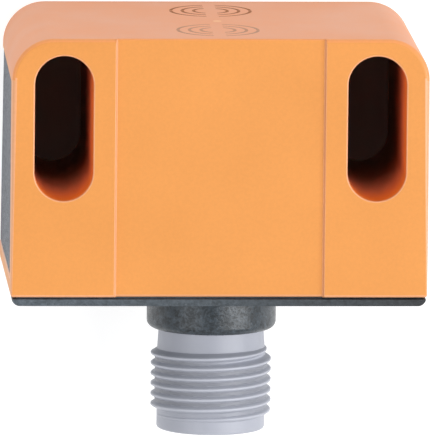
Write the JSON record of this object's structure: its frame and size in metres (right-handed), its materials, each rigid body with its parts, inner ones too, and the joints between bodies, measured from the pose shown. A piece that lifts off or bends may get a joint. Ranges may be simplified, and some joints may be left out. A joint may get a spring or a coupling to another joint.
{
  "type": "inductive valve sensor",
  "caption": "Block-shaped inductive valve-position sensor with an orange cover, slotted screw holes and a round threaded plug connector.",
  "frame": {"origin": "centre of the part's outline on the plane of the rear face, which is the face it is screwed down on", "axes": "+Z from the rear face to the front face, +Y the way the sensing face looks, -Y the way the connector points, X across the mounting slots"},
  "size_m": [0.04, 0.0398, 0.026],
  "materials": {
    "cover_plastic": "satin",
    "housing_plastic": "matte",
    "connector_plastic": "satin",
    "carrier_plastic": "matte",
    "contact_metal": "polished",
    "seal_rubber": "matte",
    "ferrite": "matte",
    "bobbin_plastic": "matte",
    "copper_wire": "satin",
    "board_laminate": "satin",
    "component_body": "matte",
    "capacitor_body": "satin",
    "lamp_body": "gloss",
    "resin": "gloss"
  },
  "bodies": {
    "root": {"front_cover": "cover_plastic", "rear_housing": "housing_plastic", "base_plate": "housing_plastic", "connector_collar": "housing_plastic", "connector_shell": "connector_plastic", "contact_carrier": "carrier_plastic", "contact_pin_1": "contact_metal", "contact_pin_2": "contact_metal", "contact_pin_3": "contact_metal", "contact_pin_4": "contact_metal", "connector_seal": "seal_rubber", "coil_holder": "carrier_plastic", "ferrite_core_rear": "ferrite", "ferrite_core_front": "ferrite", "bobbin_rear": "bobbin_plastic", "bobbin_front": "bobbin_plastic", "winding_rear": "copper_wire", "winding_front": "copper_wire", "coil_leads_rear": "copper_wire", "coil_leads_front": "copper_wire", "main_board": "board_laminate", "contact_board": "board_laminate", "sensor_chip_rear": "component_body", "sensor_chip_front": "component_body", "output_stage_rear": "component_body", "output_stage_front": "component_body", "protection_diode": "component_body", "supply_capacitors": "capacitor_body", "resistors": "component_body", "led_switch_rear": "lamp_body", "led_switch_front": "lamp_body", "led_power": "lamp_body", "potting_resin": "resin"}
  },
  "joints": []
}
